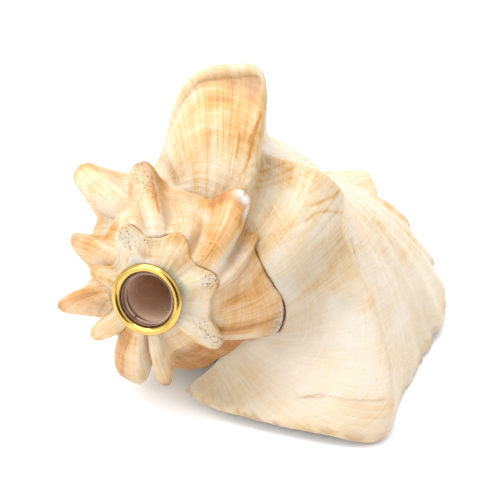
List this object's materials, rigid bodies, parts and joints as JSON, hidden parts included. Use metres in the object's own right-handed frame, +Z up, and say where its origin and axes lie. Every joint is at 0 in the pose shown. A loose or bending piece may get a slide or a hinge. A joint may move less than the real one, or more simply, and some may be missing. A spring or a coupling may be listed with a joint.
{
  "type": "conch shell horn",
  "caption": "Large spiral sea shell with a knobbed spire and a flared lip, its spire cut off and fitted with a brass mouthpiece ring so that it can be blown as a horn.",
  "frame": {"origin": "middle of the footprint's bounding box, on the surface that the shell lies on", "axes": "+Y along the shell from the mouthpiece to the canal, +X towards the flared lip, +Z up, with the opening face down"},
  "size_m": [0.1601, 0.2099, 0.1431],
  "materials": {
    "shell": "cream and ivory shell with peach and orange streaks, satin",
    "mouthpiece_ring": "polished brass"
  },
  "bodies": {
    "root": {"shell": "shell", "mouthpiece_ring": "mouthpiece_ring"}
  },
  "joints": []
}
